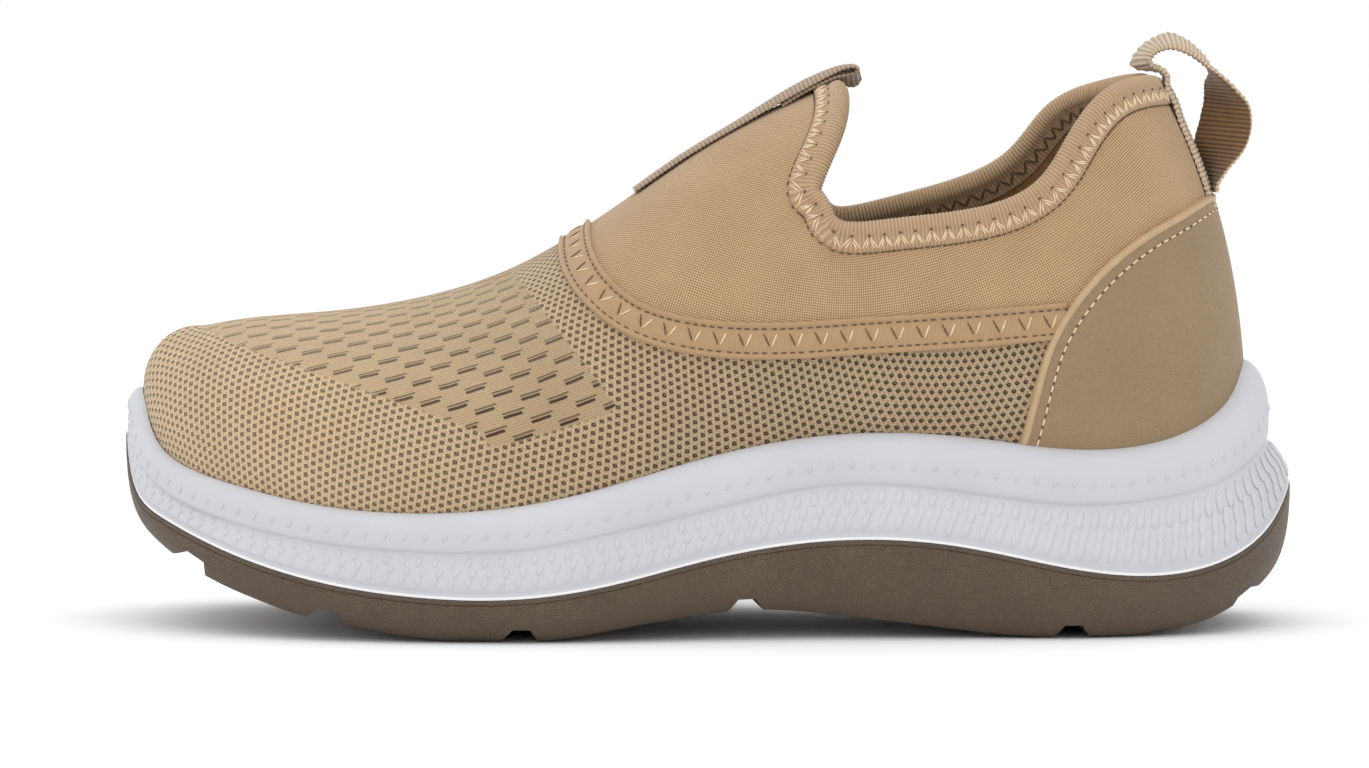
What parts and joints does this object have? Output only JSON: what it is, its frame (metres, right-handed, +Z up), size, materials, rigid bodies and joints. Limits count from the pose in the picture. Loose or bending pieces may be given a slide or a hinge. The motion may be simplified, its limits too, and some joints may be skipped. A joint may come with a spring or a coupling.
{
  "type": "slip-on sneaker",
  "caption": "Low slip-on sneaker for the left foot: hollow knit upper with a bound collar, pull loop at the heel, thick foam midsole and rubber outsole with toe spring.",
  "frame": {"origin": "on the floor, in the middle of the shoe's bounding box seen from above", "axes": "+Z up; the toe points to -X and the heel to +X; the outer side of the foot is -Y and the inner side +Y"},
  "size_m": [0.2804, 0.1038, 0.1419],
  "materials": {
    "outsole": "satin, leather-like grain",
    "midsole": "matt foam with a fine grain",
    "insole": "matt brushed cloth",
    "upper": "matt knit and foam-backed cloth",
    "instep_band": "sewn woven tape",
    "heel_counter": "smooth synthetic leather, satin",
    "collar_binding": "ribbed binding tape",
    "heel_loop": "ribbed webbing",
    "front_tab": "ribbed webbing"
  },
  "bodies": {
    "root": {"outsole": "outsole", "midsole": "midsole", "insole": "insole", "upper": "upper", "instep_band": "instep_band", "heel_counter": "heel_counter", "collar_binding": "collar_binding", "heel_loop": "heel_loop", "front_tab": "front_tab"}
  },
  "joints": []
}
